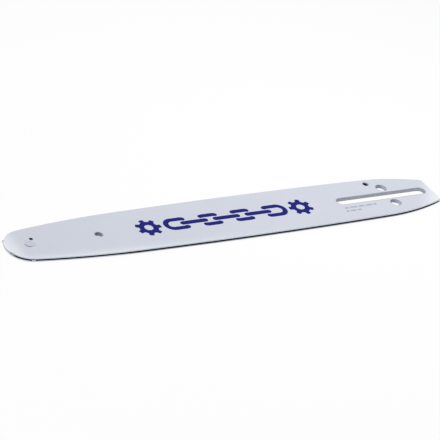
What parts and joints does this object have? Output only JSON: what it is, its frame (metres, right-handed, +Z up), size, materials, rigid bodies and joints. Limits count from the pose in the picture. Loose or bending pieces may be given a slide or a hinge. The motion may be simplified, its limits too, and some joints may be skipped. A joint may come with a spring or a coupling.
{
  "type": "chainsaw guide bar",
  "caption": "Laminated chainsaw guide bar with a chain groove round the edge, a mounting slot and adjuster holes at the tail, and a toothed sprocket turning in the nose.",
  "frame": {"origin": "middle of the bar's length and width, on the outer face of the lower side plate", "axes": "+X from the nose to the tail, +Y across the bar towards the oil hole of the upper plate, +Z up out of the upper plate"},
  "size_m": [0.3558, 0.0498, 0.0032],
  "materials": {
    "plate_paint": "satin light grey paint",
    "core_steel": "rolled, oiled",
    "sprocket_steel": "hardened, ground",
    "bearing_steel": "ground"
  },
  "bodies": {
    "bar": {"side_plate_lower": "plate_paint", "core_plate": "core_steel", "side_plate_upper": "plate_paint", "nose_rivet": "plate_paint", "inner_race": "bearing_steel"},
    "sprocket": {"nose_sprocket": "sprocket_steel"},
    "roller_set": {"roller_01": "bearing_steel", "roller_02": "bearing_steel", "roller_03": "bearing_steel", "roller_04": "bearing_steel", "roller_05": "bearing_steel", "roller_06": "bearing_steel", "roller_07": "bearing_steel", "roller_08": "bearing_steel", "roller_09": "bearing_steel", "roller_10": "bearing_steel", "roller_11": "bearing_steel", "roller_12": "bearing_steel", "roller_13": "bearing_steel", "roller_14": "bearing_steel", "roller_15": "bearing_steel", "roller_16": "bearing_steel", "roller_17": "bearing_steel", "roller_18": "bearing_steel", "roller_19": "bearing_steel", "roller_20": "bearing_steel", "roller_21": "bearing_steel", "roller_22": "bearing_steel"}
  },
  "joints": [
    {"name": "sprocket_spin", "type": "hinge", "parent": "bar", "child": "sprocket", "pos_m": [-0.1605, 0, 0.00143], "axis": [0, 0, 1], "continuous": true},
    {"name": "roller_orbit", "type": "hinge", "parent": "bar", "child": "roller_set", "pos_m": [-0.1605, 0, 0.00143], "axis": [0, 0, 1], "continuous": true}
  ],
  "couplings": [
    {"joint": "roller_orbit", "follows": "sprocket_spin", "ratio": 0.56984}
  ]
}
